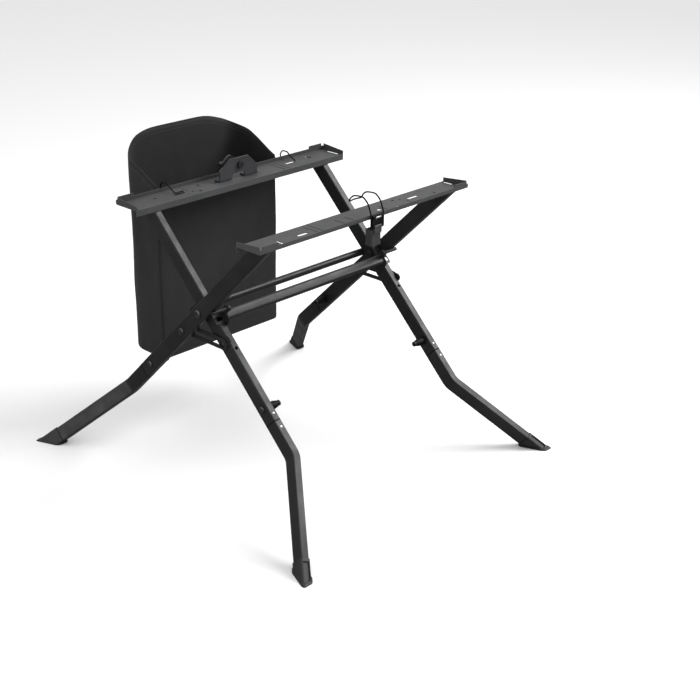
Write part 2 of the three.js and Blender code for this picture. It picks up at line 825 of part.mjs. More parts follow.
// The plate that carries the cross tube and the stop bolt, with a saddle over the leg's upper side
function addFrontBracket(leg, side, label) {
  const outline = polygon([
    [frontBracketFoot, -frontBracketStart],
    [frontBracketFoot, -frontBracketEnd],
    [frontBracketShoulder - frontBracketCut, -frontBracketEnd],
    [frontBracketShoulder, -frontBracketEnd + frontBracketCut],
    [frontBracketShoulder, -frontBracketEar],
    [frontBracketTop - bracketCorner, -frontBracketEar],
    [frontBracketTop, -frontBracketEar + bracketCorner],
    [frontBracketTop, -frontBracketStart - bracketCorner],
    [frontBracketTop - bracketCorner, -frontBracketStart],
  ]);
  const plate = pulledX(outline, bracketThickness);
  const inset = gap + half(bracketThickness);
  const place = -side * (tubeHalfWidth + inset);
  const saddleLength = frontBracketEnd - frontBracketStart - 2 * bracketCorner;
  const saddle = block(tubeWidth + inset + saddleOverhang, saddleThickness, saddleLength);
  const saddleLevel = tubeHalfDepth + gap + half(saddleThickness);
  saddle.translate(side * half(saddleOverhang - inset), saddleLevel, -frontBracketMiddle);
  const hole = pulledY(stadium(saddleHoleLength, saddleHoleWidth), overrun);
  const holePlace = tubeHalfWidth + saddleOverhang - saddleRim - half(saddleHoleLength);
  hole.translate(side * holePlace, saddleLevel, -frontBracketMiddle);
  const boltHole = rodX(stopBoltRadius + pinClearance, overrun);
  boltHole.translate(place, stopBoltAcross, -stopBoltAlong);
  let bracket = solidOf(plate.translate(place, 0, 0)).add(solidOf(saddle));
  bracket = bracket.subtract(solidOf(hole)).subtract(solidOf(boltHole));
  addPiece(leg, `front_tube_bracket_${label}`, geometryOf(bracket), darkSteel);
  addStopBolt(leg, side, label);
}

function addStopBolt(leg, side, label) {
  const bracketInnerFace = tubeHalfWidth + gap + bracketThickness;
  const reach = bracketInnerFace + tubeHalfWidth + frameGap + tubeWidth;
  const shank = rodX(stopBoltRadius, reach);
  shank.translate(side * (half(reach) - bracketInnerFace - 2 * gap), 0, 0);
  const head = rodX(stopBoltHeadRadius, stopBoltHeadHeight, hexSides);
  head.translate(-side * (bracketInnerFace + gap + half(stopBoltHeadHeight)), 0, 0);
  const bolt = geometryOf(joined(solidOf(shank), solidOf(head)));
  bolt.translate(0, stopBoltAcross, -stopBoltAlong);
  addPiece(leg, `stop_bolt_${label}`, bolt, darkSteel);
}

function addLinkPin(leg, side, label) {
  const linkFace = tubeHalfWidth + frameGap - gap;
  const reach = linkPinDepth + linkFace - tubeHalfWidth;
  const pin = rodX(linkPinRadius, reach, roundSides);
  pin.translate(side * (linkFace - half(reach)), 0, -linkDistance);
  addPiece(leg, `link_pin_${label}`, pin, zincSteel);
}

function addCatch(leg, side, label) {
  const place = side * (tubeHalfWidth + gap + half(catchThickness));
  const outline = catchShares.map(({ along, up }) => [
    catchFoot + (catchTop - catchFoot) * up,
    -catchStart - catchLength * along,
  ]);
  const plate = pulledX(polygon(outline), catchThickness).translate(place, 0, 0);
  const pin = rodX(catchPinRadius, catchPinDepth + gap);
  pin.translate(place - side * half(catchPinDepth), catchPinLevel, -catchPinDistance);
  addPiece(leg, `catch_${label}`, geometryOf(joined(solidOf(plate), solidOf(pin))), darkSteel);
}

// Slotted link plates: one end on the outer leg's rivet, the slot over the inner leg's pin
function addLinks() {
  const pinSpread = 2 * linkDistance * Math.sin(legAngle);
  const foldedSpread = 2 * linkDistance * Math.sin(legAngle - half(foldRange));
  const radius = half(linkHeight);
  for (const side of [-1, 1]) {
    const label = side < 0 ? 'left' : 'right';
    const group = new THREE.Group();
    const place = outerLegInnerFace - gap - half(linkThickness);
    const level = pivotHeight - linkDistance * Math.cos(legAngle);
    group.position.set(side * place, linkDistance * Math.sin(legAngle), level);
    stand.add(group);
    const plate = pulledX(stadium(pinSpread + linkHeight, linkHeight), linkThickness);
    plate.translate(0, -half(pinSpread), 0);
    const slotRadius = linkPinRadius + linkSlotClearance;
    const slotLength = pinSpread - foldedSpread + 2 * slotRadius;
    const slot = pulledX(stadium(slotLength, 2 * slotRadius), overrun);
    slot.translate(0, -half(pinSpread + foldedSpread), 0);
    const hook = pulledX(stadium(radius, 2 * slotRadius), overrun);
    hook.translate(0, -pinSpread + half(radius) - slotRadius, -linkHookDrop);
    const eye = rodX(linkPinRadius + pinClearance, overrun);
    const solid = cut(solidOf(plate), solidOf(slot), solidOf(hook), solidOf(eye));
    addPiece(group, `link_${label}`, geometryOf(solid), darkSteel);
  }
}

// The latch: a clip on the rail's front flange, a lever box hinged under it and a wire bail
function addLatch() {
  const group = new THREE.Group();
  group.position.set(latchCentre, -railOuterEdge - gap - half(clipDepth), 0);
  stand.add(group);
  const body = block(latchWidth, clipDepth, clipHeight).translate(0, 0, half(clipTop + clipBottom));
  const window = block(clipSlotWidth, clipDepth + overrun, clipSlotHeight);
  const solids = [solidOf(body).subtract(solidOf(window.translate(0, 0, clipTop - clipSlotHeight)))];
  const earPlace = half(latchWidth - latchEarWidth);
  const earHeight = clipBottom - latchPinHeight + earRoot;
  const bailHoleReach = half(latchWidth - clipSlotWidth) + bailInset;
  const bailHoles = [];
  for (const side of [-1, 1]) {
    const ear = block(latchEarWidth, 2 * latchEarRadius, earHeight);
    solids.push(solidOf(ear.translate(side * earPlace, 0, latchPinHeight + half(earHeight))));
    const earEnd = rodX(latchEarRadius, latchEarWidth);
    solids.push(solidOf(earEnd.translate(side * earPlace, 0, latchPinHeight)));
    const bailHole = rodX(bailWireRadius + pinClearance, bailHoleReach);
    bailHoles.push(solidOf(bailHole.translate(side * half(latchWidth), 0, bailPivotHeight)));
  }
  solids.push(solidOf(rodX(latchPinRadius, latchWidth - latchEarWidth).translate(0, 0, latchPinHeight)));
  addPiece(group, 'latch_clip', geometryOf(cut(joined(...solids), ...bailHoles)), blackPlastic);
  addLatchLever(group);
  addBail(group);
}

function addLatchLever(parent) {
  const group = new THREE.Group();
  group.position.z = latchPinHeight;
  parent.add(group);
  const knuckleWidth = latchWidth - 2 * latchEarWidth - 2 * gap;
  const boxMiddle = half(clipDepth) + 2 * gap + half(leverDepth) - latchEarRadius;
  const body = pulledZ(roundedRectangle(leverWidth, leverDepth, leverCorner), leverLength);
  body.translate(0, boxMiddle, -leverDrop - half(leverLength));
  const neck = block(knuckleWidth, latchNeckDepth, latchNeckLength).translate(0, 0, -half(latchNeckLength));
  const knuckle = rodX(latchEarRadius, knuckleWidth);
  const bore = rodX(latchPinRadius + pinClearance, latchWidth);
  const lever = cut(joined(solidOf(body), solidOf(neck), solidOf(knuckle)), solidOf(bore));
  addPiece(group, 'latch_lever', geometryOf(lever), blackPlastic);
}

function addBail(parent) {
  const group = new THREE.Group();
  group.position.z = bailPivotHeight;
  parent.add(group);
  const sidePoints = (side) => {
    const rows = bailSideShares.map(({ back, rise }) => [bailHalfWidth, bailBack * back, bailRise * rise]);
    const inHole = [[half(latchWidth) - bailInset, 0, 0], [half(latchWidth), 0, 0]];
    return [...inHole, ...rows].map(([x, y, z]) => new THREE.Vector3(side * x, y, z));
  };
  const nose = new THREE.Vector3(0, bailBack + bailNose, bailRise * bailSideShares.at(-1).rise);
  const points = [...sidePoints(-1), nose, ...sidePoints(1).reverse()];
  addPiece(group, 'latch_bail', wire(points, bailWireRadius, bailSteps, bailTension), darkSteel);
}

// The bracket that stands on the rear rail, its hub bolt and the clamp lever behind it
function addSawBracket() {
  const group = new THREE.Group();
  group.position.set(0, railInnerEdge + sawPlateInset, deckHeight + gap);
  stand.add(group);
  const outline = polygon([
    [-bracketLeft, sawFootThickness],
    [-archHalfWidth, sawFootThickness],
    [-archTopHalfWidth, archHeight],
    [archTopHalfWidth, archHeight],
    [archHalfWidth, sawFootThickness],
    [bracketRight, sawFootThickness],
    [bracketRight - sawPlateTaper, sawPlateSideHeight],
    [sawPlateTopRight, sawPlateTopHeight],
    [-sawPlateTopLeft, sawPlateTopHeight],
    [-bracketLeft, sawPlateSideHeight],
  ]);
  const plate = pulledY(outline, sawPlateThickness).translate(0, half(sawPlateThickness), 0);
  let bracket = solidOf(plate);
  for (const side of [-1, 1]) {
    const reach = side < 0 ? bracketLeft : bracketRight;
    const foot = block(reach - archHalfWidth, sawFootDepth, sawFootThickness + gap);
    const footLevel = half(sawFootThickness + gap);
    foot.translate(side * half(reach + archHalfWidth), half(sawFootDepth + sawPlateThickness), footLevel);
    bracket = bracket.add(solidOf(foot));
  }
  const hole = rodY(hubBoltRadius + pinClearance, overrun, roundSides).translate(hubOffset, 0, hubHeight);
  addPiece(group, 'saw_bracket', geometryOf(bracket.subtract(solidOf(hole))), railPaint);
  addHubBolt(group);
  addClampLever(group);
}

function addHubBolt(group) {
  const reach = sawPlateThickness + leverPlateThickness + 2 * gap;
  const nutThickness = half(hubHeadHeight);
  const shankLength = reach + gap + 2 * nutThickness;
  const shank = rodY(hubBoltRadius, shankLength, roundSides).translate(0, half(reach - gap), 0);
  const head = rodY(hubHeadRadius, hubHeadHeight, roundSides).translate(0, -gap - half(hubHeadHeight), 0);
  const nut = rodY(hubHeadRadius, nutThickness, hexSides).translate(0, reach + half(nutThickness), 0);
  const bolt = geometryOf(joined(solidOf(shank), solidOf(head), solidOf(nut)));
  addPiece(group, 'hub_bolt', bolt.translate(hubOffset, 0, hubHeight), zincSteel);
}

function addClampLever(parent) {
  const group = new THREE.Group();
  group.position.set(hubOffset, sawPlateThickness + gap, hubHeight);
  parent.add(group);
  const reach = hubOffset + leverKnobOffset;
  const top = [];
  const under = [];
  for (let i = 0; i <= leverArmSteps; i += 1) {
    const share = i / leverArmSteps;
    const level = leverKnobRise * share + leverArch * Math.sin(Math.PI * share);
    top.push([-reach * share, level + half(leverArmWidth)]);
    under.push([-reach * share, level - half(leverArmWidth)]);
  }
  const middle = half(leverPlateThickness);
  const hub = rodY(leverHubRadius, leverPlateThickness, roundSides).translate(0, middle, 0);
  const arm = pulledY(polygon([...top, ...under.reverse()]), leverPlateThickness).translate(0, middle, 0);
  const knob = rodY(leverKnobRadius, leverKnobDepth, roundSides);
  knob.translate(-reach, half(leverKnobDepth), leverKnobRise);
  const bore = rodY(hubBoltRadius + pinClearance, overrun, roundSides).translate(0, middle, 0);
  const lever = cut(joined(solidOf(hub), solidOf(arm), solidOf(knob)), solidOf(bore));
  addPiece(group, 'clamp_lever', geometryOf(lever), blackPlastic);
}

// The bag: an open shell with a level back edge and sides that slope down to the rail
function bagOutline(inset) {
  const [left, right] = [-bagLeft + inset, bagRight - inset];
  const [front, rear] = [inset, bagDepth - inset];
  const [frontRadius, rearRadius] = [bagFrontRadius - inset, bagRearRadius - inset];
  const shape = new THREE.Shape();
  shape.absarc(right - frontRadius, front + frontRadius, frontRadius, -Math.PI / 2, 0);
  shape.absarc(right - rearRadius, rear - rearRadius, rearRadius, 0, Math.PI / 2);
  shape.absarc(left + rearRadius, rear - rearRadius, rearRadius, Math.PI / 2, Math.PI);
  shape.absarc(left + frontRadius, front + frontRadius, frontRadius, Math.PI, Math.PI * 1.5);
  return shape;
}

// What is cut off above the bag's sides, seen from the side, and above its back, seen from the front
function bagCuts() {
  const rimRise = bagRise - bagFrontRise;
  const level = (rise) => bagHeight - rimRise * (1 - rise);
  const above = bagHeight + overrun;
  const side = bagSideShares.map(({ depth, rise }) => [bagDepth * depth, level(rise)]);
  const sideEnd = side.at(-1)[0];
  const sideCut = polygon([[-overrun, level(0)], ...side, [sideEnd, above], [-overrun, above]]);
  const left = bagBackLeftShares.map(({ across, rise }) => [-bagLeft * across, level(rise)]);
  const right = bagBackRightShares.map(({ across, rise }) => [bagRight * across, level(rise)]);
  const ends = [[bagRight + overrun, level(bagBackRightShares.at(-1).rise)], [bagRight + overrun, above]];
  const start = [[-bagLeft - overrun, above], [-bagLeft - overrun, level(bagBackLeftShares[0].rise)]];
  const backCut = polygon([...start, ...left, ...right, ...ends]);
  const cutLength = bagLeft + bagRight + bagDepth;
  return [solidOf(pulledX(sideCut, 2 * cutLength)), solidOf(pulledY(backCut, 2 * cutLength))];
}

function addBag() {
  const group = new THREE.Group();
  group.position.set(0, railOuterEdge + bagGap, bagBottom);
  stand.add(group);
  const options = { bevelEnabled: false, curveSegments: 2 * quarterSteps, depth: bagHeight };
  const skin = new THREE.ExtrudeGeometry(bagOutline(0), options);
  const hollow = new THREE.ExtrudeGeometry(bagOutline(bagWall), options).translate(0, 0, bagWall);
  const shell = cut(solidOf(skin), solidOf(hollow), ...bagCuts());
  addPiece(group, 'bag', geometryOf(shell), bagCloth);
  const leftRoot = -bagLeft + bagWall + gap;
  const rightRoot = bagRight + gap;
  addBagHook('left', leftRoot, -bagLeft + hookLeftInset, hookTail);
  addBagHook('right', rightRoot, bagRight + hookRightOffset, 0);
}

// A wire hook from the bag's side wall that climbs behind the flange and comes down on the deck
function addBagHook(label, root, place, tail) {
  const behind = railOuterEdge + hookBehind;
  const onDeck = railOuterEdge - hookReach;
  const level = deckHeight + hookWireRadius + gap;
  const top = deckHeight + hookRise;
  const points = [
    [root, behind, deckHeight - hookLow],
    [half(root + place), behind, deckHeight - hookLow],
    [place, behind, deckHeight],
    [place, behind, half(deckHeight + top)],
    [place, half(behind + railOuterEdge), top],
    [place, railOuterEdge - half(hookBehind), half(top + deckHeight + hookRise)],
    [place, half(onDeck + railOuterEdge), half(level + top)],
    [place, onDeck, level],
  ];
  if (tail > 0) points.push([place + half(tail), onDeck, level], [place + tail, onDeck, level]);
  const route = points.map(([x, y, z]) => new THREE.Vector3(x, y, z));
  addPiece(stand, `bag_hook_${label}`, wire(route, hookWireRadius, hookSteps, hookTension), darkSteel);
}

export default stand;
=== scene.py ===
# Folding table saw stand: finishes, bevelled steel pieces, moulded parts and the cloth bag
import json
from math import cos, pi, radians, sin, sqrt

import bmesh
import bpy
from mathutils import Matrix, Vector, noise


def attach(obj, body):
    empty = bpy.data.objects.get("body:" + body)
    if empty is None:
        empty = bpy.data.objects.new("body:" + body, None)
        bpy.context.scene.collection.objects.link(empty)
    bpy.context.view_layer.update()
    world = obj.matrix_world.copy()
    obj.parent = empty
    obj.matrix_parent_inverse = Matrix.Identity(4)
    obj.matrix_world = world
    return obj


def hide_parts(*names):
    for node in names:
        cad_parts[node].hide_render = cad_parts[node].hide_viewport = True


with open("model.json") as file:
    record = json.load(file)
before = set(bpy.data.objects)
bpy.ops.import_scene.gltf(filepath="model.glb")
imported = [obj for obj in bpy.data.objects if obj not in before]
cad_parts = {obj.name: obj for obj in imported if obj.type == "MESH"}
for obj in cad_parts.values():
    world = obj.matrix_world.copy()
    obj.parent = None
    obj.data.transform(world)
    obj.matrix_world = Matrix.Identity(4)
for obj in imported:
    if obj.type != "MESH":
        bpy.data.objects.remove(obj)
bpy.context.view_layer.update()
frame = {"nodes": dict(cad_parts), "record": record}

mm = 0.001
nodeBody = {node: body for body, nodes in frame["record"]["behaviour"]["bodies"].items() for node in nodes}
nodeSlot = {row["node"]: row["material_slot"] for row in frame["record"]["subparts"]}
print("frame loaded:", len(frame["nodes"]), "nodes")

# Camera at the photo's angle, with its place in mm and its pitch in degrees down
camera = {
    "place": (-1831.4, -1869.2, 1395.5),
    "pitch": 23.6,
    "yaw": -44.63,
    "lens": 67.46,
    "film": 36,
    "shift": (0.0714, -0.0143),
    "farEnd": 50,
}


def addCamera():
    data = bpy.data.cameras.new("camera")
    data.lens = camera["lens"]
    data.sensor_width = camera["film"]
    data.shift_x, data.shift_y = camera["shift"]
    data.clip_end = camera["farEnd"]
    item = bpy.data.objects.new("camera", data)
    item.location = Vector(camera["place"]) * mm
    item.rotation_euler = (radians(90 - camera["pitch"]), 0, radians(camera["yaw"]))
    bpy.context.collection.objects.link(item)
    bpy.context.scene.camera = item


# Soft studio: a pale floor and backdrop, a sky that is brighter overhead, and three lights.
# The object's gloss doesn't see the floor, because the photo's surroundings are dark.
studio = {
    "floor": {"size": 40, "colour": (0.8, 0.8, 0.8, 1), "roughness": 0.9},
    "backdrop": {"radius": 19, "rings": 24, "sectors": 48, "glow": 0.88},
    "sky": {"start": -0.15, "low": 0.2, "high": 1.25},
    "lights": [
        {"name": "overhead", "place": (-0.2, 0.3, 3.4), "aim": (0, 0, 0.3), "size": 3.0, "power": 14},
        {"name": "panelRight", "place": (2.3, -1.5, 2.6), "aim": (0, 0, 0.35), "size": 2.2, "power": 135},
        {"name": "panelLeft", "place": (-2.6, 0.5, 0.5), "aim": (0, 0, 0.1), "size": 1.0, "power": 9},
    ],
}
white = (1, 1, 1, 1)
black = (0, 0, 0, 1)


def addStage(bm, name):
    mesh = bpy.data.meshes.new(name)
    bm.to_mesh(mesh)
    bm.free()
    item = bpy.data.objects.new(name, mesh)
    bpy.context.collection.objects.link(item)
    material = bpy.data.materials.new(name + "Pale")
    material.use_nodes = True
    mesh.materials.append(material)
    item.visible_glossy = False
    return item, material.node_tree.nodes["Principled BSDF"]


def addFloor():
    row = studio["floor"]
    bm = bmesh.new()
    bmesh.ops.create_grid(bm, x_segments=1, y_segments=1, size=row["size"] / 2)
    shader = addStage(bm, "floor")[1]
    shader.inputs["Base Color"].default_value = row["colour"]
    shader.inputs["Roughness"].default_value = row["roughness"]


# The camera alone sees the backdrop, and the sky's light passes through it
def addBackdrop():
    row = studio["backdrop"]
    bm = bmesh.new()
    bmesh.ops.create_uvsphere(bm, u_segments=row["sectors"], v_segments=row["rings"], radius=row["radius"])
    item, shader = addStage(bm, "backdrop")
    shader.inputs["Base Color"].default_value = black
    shader.inputs["Specular IOR Level"].default_value = 0
    shader.inputs["Emission Color"].default_value = white
    shader.inputs["Emission Strength"].default_value = row["glow"]
    item.visible_diffuse = False
    item.visible_transmission = False
    item.visible_shadow = False


def addSky():
    row = studio["sky"]
    world = bpy.data.worlds.new("studio")
    world.use_nodes = True
    tree = world.node_tree
    background = tree.nodes["Background"]
    background.inputs["Color"].default_value = white
    coords = tree.nodes.new("ShaderNodeTexCoord")
    parts = tree.nodes.new("ShaderNodeSeparateXYZ")
    level = tree.nodes.new("ShaderNodeMapRange")
    level.inputs["From Min"].default_value = row["start"]
    level.inputs["To Min"].default_value = row["low"]
    level.inputs["To Max"].default_value = row["high"]
    tree.links.new(coords.outputs["Generated"], parts.inputs["Vector"])
    tree.links.new(parts.outputs["Z"], level.inputs["Value"])
    tree.links.new(level.outputs["Result"], background.inputs["Strength"])
    bpy.context.scene.world = world
    bpy.context.scene.view_settings.view_transform = "Standard"


def addLights():
    for row in studio["lights"]:
        data = bpy.data.lights.new(row["name"], "AREA")
        data.shape = "DISK"
        data.size = row["size"]
        data.energy = row["power"]
        item = bpy.data.objects.new(row["name"], data)
        item.location = row["place"]
        aim = Vector(row["aim"]) - Vector(row["place"])
        item.rotation_euler = aim.to_track_quat("-Z", "Y").to_euler()
        bpy.context.collection.objects.link(item)


addCamera()
addFloor()
addBackdrop()
addSky()
addLights()
print("camera and studio ready")


# Node helpers
def newMaterial(name):
    material = bpy.data.materials.new(name)
    material.use_nodes = True
    tree = material.node_tree
    return material, tree, tree.nodes["Principled BSDF"]


def objectCoords(tree, scale=(1, 1, 1)):
    coords = tree.nodes.new("ShaderNodeTexCoord")
    mapping = tree.nodes.new("ShaderNodeMapping")
    mapping.inputs["Scale"].default_value = scale
    tree.links.new(coords.outputs["Object"], mapping.inputs["Vector"])
    return mapping.outputs["Vector"]


def noiseNode(tree, vector, scale, detail, rough=0.55):
    node = tree.nodes.new("ShaderNodeTexNoise")
    node.inputs["Scale"].default_value = scale
    node.inputs["Detail"].default_value = detail
    node.inputs["Roughness"].default_value = rough
    tree.links.new(vector, node.inputs["Vector"])
    return node.outputs["Fac"]


def rampNode(tree, value, places, colours):
    node = tree.nodes.new("ShaderNodeValToRGB")
    for element, place, colour in zip(node.color_ramp.elements, places, colours):
        element.position = place
        element.color = (*colour, 1)
    tree.links.new(value, node.inputs["Fac"])
    return node.outputs["Color"]


def greyRamp(tree, value, places, levels):
    return rampNode(tree, value, places, [(level, level, level) for level in levels])


def mathNode(tree, operation, *values):
    node = tree.nodes.new("ShaderNodeMath")
    node.operation = operation
    for socket, value in zip(node.inputs, values):
        if isinstance(value, float):
            socket.default_value = value
        else:
            tree.links.new(value, socket)
    return node.outputs[0]


def mixColour(tree, factor, first, second):
    node = tree.nodes.new("ShaderNodeMix")
    node.data_type = "RGBA"
    tree.links.new(factor, node.inputs["Factor"])
    tree.links.new(first, node.inputs[6])
    node.inputs[7].default_value = (*second, 1)
    return node.outputs[2]


def bumpNode(tree, height, strength, distance, normal=None):
    node = tree.nodes.new("ShaderNodeBump")
    node.inputs["Strength"].default_value = strength
    node.inputs["Distance"].default_value = distance
    tree.links.new(height, node.inputs["Height"])
    if normal is not None:
        tree.links.new(normal, node.inputs["Normal"])
    return node.outputs["Normal"]


# Marks along the bevelled edges: scuffs where a finish's edge colour is lighter than its body, and painted
# shade where it is darker (the bracket plate's steel). Each noise is given as scale, detail and roughness.
scuffAndShadeMarks = {"noise": (60, 8, 0.7), "places": (0.5, 0.68), "levels": (0, 1)}


def wornAndShadedEdges(tree, vector):
    attribute = tree.nodes.new("ShaderNodeAttribute")
    attribute.attribute_name = "edgeWearAndShade"
    scuffAndShade = greyRamp(tree, noiseNode(tree, vector, *scuffAndShadeMarks["noise"]), scuffAndShadeMarks["places"], scuffAndShadeMarks["levels"])
    return mathNode(tree, "MULTIPLY", attribute.outputs["Fac"], scuffAndShade)


# Painted steel: cloudy tone, uneven gloss and a fine orange peel. Bumps are given as strength and depth.
paintTexture = {
    "clouds": (9, 5), "gloss": (40, 6), "places": (0.35, 0.7), "peel": (900, 2), "bump": (0.12, 0.0004),
}
paints = {
    "tubePaint": {
        "dark": (0.0100, 0.0101, 0.0109), "light": (0.0175, 0.0177, 0.0188),
        "edge": (0.045, 0.045, 0.047), "roughness": (0.31, 0.45), "gloss": 0.24,
    },
    "railPaint": {
        "dark": (0.0430, 0.0434, 0.0448), "light": (0.0570, 0.0574, 0.0592),
        "edge": (0.060, 0.060, 0.062), "roughness": (0.40, 0.52), "gloss": 0.26,
    },
    "darkSteel": {
        "dark": (0.0090, 0.0091, 0.0099), "light": (0.0180, 0.0182, 0.0194),
        "edge": (0.050, 0.050, 0.052), "roughness": (0.34, 0.50), "gloss": 0.24,
    },
    # The bracket plate's edge colour is darker than its paint: painted shade along the plate's bevelled
    # edges
    "plateSteel": {
        "dark": (0.024, 0.0245, 0.026), "light": (0.040, 0.0405, 0.043),
        "edge": (0.006, 0.006, 0.0065), "roughness": (0.36, 0.48), "gloss": 0.35,
    },
}


def paintMaterial(name):
    row = paints[name]
    material, tree, shader = newMaterial(name)
    shader.inputs["Specular IOR Level"].default_value = row["gloss"]
    vector = objectCoords(tree)
    places = paintTexture["places"]
    clouds = noiseNode(tree, vector, *paintTexture["clouds"])
    tone = rampNode(tree, clouds, places, (row["dark"], row["light"]))
    # Edge colour over the bevels: scuffs on most paints, painted shade on the bracket plate
    colour = mixColour(tree, wornAndShadedEdges(tree, vector), tone, row["edge"])
    tree.links.new(colour, shader.inputs["Base Color"])
    rough = greyRamp(tree, noiseNode(tree, vector, *paintTexture["gloss"]), places, row["roughness"])
    tree.links.new(rough, shader.inputs["Roughness"])
    peel = noiseNode(tree, vector, *paintTexture["peel"])
    tree.links.new(bumpNode(tree, peel, *paintTexture["bump"]), shader.inputs["Normal"])
    return material


# Zinc plate: a fine grain and turning marks that run across x
zincTexture = {
    "tone": (120, 5), "tonePlaces": (0.3, 0.7), "grain": (300, 4), "grainPlaces": (0.3, 0.75),
    "roughness": (0.26, 0.45), "stretch": (40, 1, 1), "turning": (90, 2), "bump": (0.1, 0.0002),
}
zincs = {
    "zinc": {"dark": (0.07, 0.071, 0.074), "light": (0.14, 0.141, 0.146)},
    "brightZinc": {"dark": (0.60, 0.60, 0.61), "light": (0.80, 0.80, 0.81)},
}


def zincMaterial(name):
    row = zincs[name]
    material, tree, shader = newMaterial(name)
    shader.inputs["Metallic"].default_value = 1
    vector = objectCoords(tree)
    spots = noiseNode(tree, vector, *zincTexture["tone"])
    tone = rampNode(tree, spots, zincTexture["tonePlaces"], (row["dark"], row["light"]))
    tree.links.new(tone, shader.inputs["Base Color"])
    grain = noiseNode(tree, vector, *zincTexture["grain"])
    rough = greyRamp(tree, grain, zincTexture["grainPlaces"], zincTexture["roughness"])
    tree.links.new(rough, shader.inputs["Roughness"])
    turning = noiseNode(tree, objectCoords(tree, zincTexture["stretch"]), *zincTexture["turning"])
    tree.links.new(bumpNode(tree, turning, *zincTexture["bump"]), shader.inputs["Normal"])
    return material


# Moulded plastic and rubber, with a fine grain
mouldTexture = {
    "tone": (30, 5), "places": (0.35, 0.7), "edge": (0.04, 0.04, 0.041), "detail": 3, "bump": (0.25, 0.0004),
}
plastics = {
    "blackPlastic": {
        "dark": (0.0035, 0.0035, 0.004), "light": (0.007, 0.007, 0.0076),
        "roughness": 0.5, "gloss": 0.1, "grain": 1400,
    },
    "boxPlastic": {
        "dark": (0.034, 0.034, 0.0355), "light": (0.054, 0.054, 0.0565),
        "roughness": 0.42, "gloss": 0.25, "grain": 1400,
    },
    "glossPlastic": {
        "dark": (0.005, 0.005, 0.0054), "light": (0.008, 0.008, 0.0086),
        "roughness": 0.22, "gloss": 0.5, "grain": 700,
    },
    "rubber": {
        "dark": (0.009, 0.009, 0.0095), "light": (0.018, 0.018, 0.019),
        "roughness": 0.52, "gloss": 0.4, "grain": 700,
    },
}


def mouldedMaterial(name):
    row = plastics[name]
    material, tree, shader = newMaterial(name)
    shader.inputs["Roughness"].default_value = row["roughness"]
    shader.inputs["Specular IOR Level"].default_value = row["gloss"]
    vector = objectCoords(tree)
    spots = noiseNode(tree, vector, *mouldTexture["tone"])
    tone = rampNode(tree, spots, mouldTexture["places"], (row["dark"], row["light"]))
    colour = mixColour(tree, wornAndShadedEdges(tree, vector), tone, mouldTexture["edge"])
    tree.links.new(colour, shader.inputs["Base Color"])
    grain = noiseNode(tree, vector, row["grain"], mouldTexture["detail"])
    tree.links.new(bumpNode(tree, grain, *mouldTexture["bump"]), shader.inputs["Normal"])
    return material


# The cloth has a plain weave and a row of stitches below the hem
cloth = {
    "dark": (0.0085, 0.0087, 0.0095), "light": (0.0150, 0.0152, 0.0165), "thread": (0.020, 0.0202, 0.0215),
    "roughness": 0.78, "gloss": 0.25, "sheen": 0.05, "sheenRoughness": 0.5,
    "weave": 210, "distortion": 0.6, "weaveDetail": 1, "weaveBump": (0.35, 0.0006),
    "patches": (7, 5), "patchPlaces": (0.3, 0.75), "folds": (14, 3), "foldBump": (0.25, 0.006),
    "stitch": (0.032, 0.032, 0.034), "stitchBelow": 0.013, "stitchWidth": 0.0009,
    "stitchPitch": 0.0042, "stitchShare": 0.66, "stitchBump": (0.6, 0.0008),
}


def clothMaterial():
    material, tree, shader = newMaterial("bagCloth")
    shader.inputs["Roughness"].default_value = cloth["roughness"]
    shader.inputs["Specular IOR Level"].default_value = cloth["gloss"]
    shader.inputs["Sheen Weight"].default_value = cloth["sheen"]
    shader.inputs["Sheen Roughness"].default_value = cloth["sheenRoughness"]
    uv = tree.nodes.new("ShaderNodeUVMap")
    uv.uv_map = "cloth"
    weave = mathNode(tree, "MULTIPLY", clothBands(tree, uv, "X"), clothBands(tree, uv, "Y"))
    vector = objectCoords(tree)
    clouds = noiseNode(tree, vector, *cloth["patches"])
    patches = rampNode(tree, clouds, cloth["patchPlaces"], (cloth["dark"], cloth["light"]))
    stitches = stitchMask(tree, uv)
    woven = mixColour(tree, weave, patches, cloth["thread"])
    tree.links.new(mixColour(tree, stitches, woven, cloth["stitch"]), shader.inputs["Base Color"])
    folds = bumpNode(tree, noiseNode(tree, vector, *cloth["folds"]), *cloth["foldBump"])
    fine = bumpNode(tree, weave, *cloth["weaveBump"], folds)
    tree.links.new(bumpNode(tree, stitches, *cloth["stitchBump"], fine), shader.inputs["Normal"])
    return material


def clothBands(tree, uv, direction):
    node = tree.nodes.new("ShaderNodeTexWave")
    node.bands_direction = direction
    node.inputs["Scale"].default_value = cloth["weave"]
    node.inputs["Distortion"].default_value = cloth["distortion"]
    node.inputs["Detail"].default_value = cloth["weaveDetail"]
    tree.links.new(uv.outputs["UV"], node.inputs["Vector"])
    return node.outputs["Fac"]


def stitchMask(tree, uv):
    parts = tree.nodes.new("ShaderNodeSeparateXYZ")
    tree.links.new(uv.outputs["UV"], parts.inputs["Vector"])
    level = mathNode(tree, "ADD", parts.outputs["Y"], cloth["stitchBelow"])
    onRow = mathNode(tree, "LESS_THAN", mathNode(tree, "ABSOLUTE", level), cloth["stitchWidth"])
    place = mathNode(tree, "PINGPONG", parts.outputs["X"], cloth["stitchPitch"])
    onStitch = mathNode(tree, "LESS_THAN", place, cloth["stitchPitch"] * cloth["stitchShare"])
    return mathNode(tree, "MULTIPLY", onRow, onStitch)


